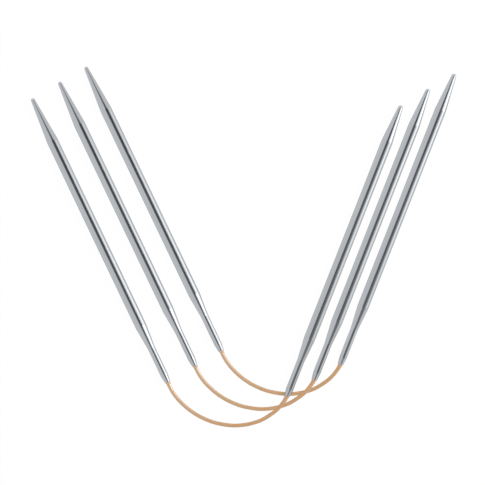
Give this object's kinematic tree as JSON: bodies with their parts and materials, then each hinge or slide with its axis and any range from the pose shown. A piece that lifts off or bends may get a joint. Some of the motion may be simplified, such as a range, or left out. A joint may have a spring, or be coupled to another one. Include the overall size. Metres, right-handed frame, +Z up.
{
  "type": "circular knitting needle set",
  "caption": "Flexible knitting needles lying one over the next, each with a long-point and a short-point plated tube shaft joined by a short bonded nylon cord.",
  "frame": {"origin": "on the table, below the middle of the box round all the shafts", "axes": "+X across the set from the long points to the short points, +Y from the cords towards the points, +Z up from the table"},
  "size_m": [0.1314, 0.1116, 0.004],
  "materials": {
    "plated_tube": "polished nickel plate over a brass tube",
    "cord": "smooth tan nylon",
    "bond": "cured clear adhesive"
  },
  "bodies": {
    "back_needle": {"back_short_shaft": "plated_tube", "back_cord": "cord", "back_short_bond": "bond"},
    "back_long_end": {"back_long_shaft": "plated_tube", "back_long_bond": "bond"},
    "middle_needle": {"middle_short_shaft": "plated_tube", "middle_cord": "cord", "middle_short_bond": "bond"},
    "middle_long_end": {"middle_long_shaft": "plated_tube", "middle_long_bond": "bond"},
    "front_needle": {"front_short_shaft": "plated_tube", "front_cord": "cord", "front_short_bond": "bond"},
    "front_long_end": {"front_long_shaft": "plated_tube", "front_long_bond": "bond"}
  },
  "joints": [
    {"name": "middle_lift", "type": "slide", "parent": "back_needle", "child": "middle_needle", "axis": [0, 0, 1], "range_m": [0, 0.05]},
    {"name": "front_lift", "type": "slide", "parent": "middle_needle", "child": "front_needle", "axis": [0, 0, 1], "range_m": [0, 0.05]},
    {"name": "back_flex", "type": "hinge", "parent": "back_needle", "child": "back_long_end", "pos_m": [-0.00343, -0.0423, 0.0032], "axis": [0.9022, 0.4313, 0], "range_deg": [0, 90], "stiffness_Nm_per_rad": 0.006, "deforming": ["back_cord"]},
    {"name": "middle_flex", "type": "hinge", "parent": "middle_needle", "child": "middle_long_end", "pos_m": [-0.01153, -0.04695, 0.0032], "axis": [0.9022, 0.4313, 0], "range_deg": [0, 90], "stiffness_Nm_per_rad": 0.006, "deforming": ["middle_cord"]},
    {"name": "front_flex", "type": "hinge", "parent": "front_needle", "child": "front_long_end", "pos_m": [-0.01993, -0.05205, 0.0032], "axis": [0.9022, 0.4313, 0], "range_deg": [0, 90], "stiffness_Nm_per_rad": 0.006, "deforming": ["front_cord"]}
  ]
}
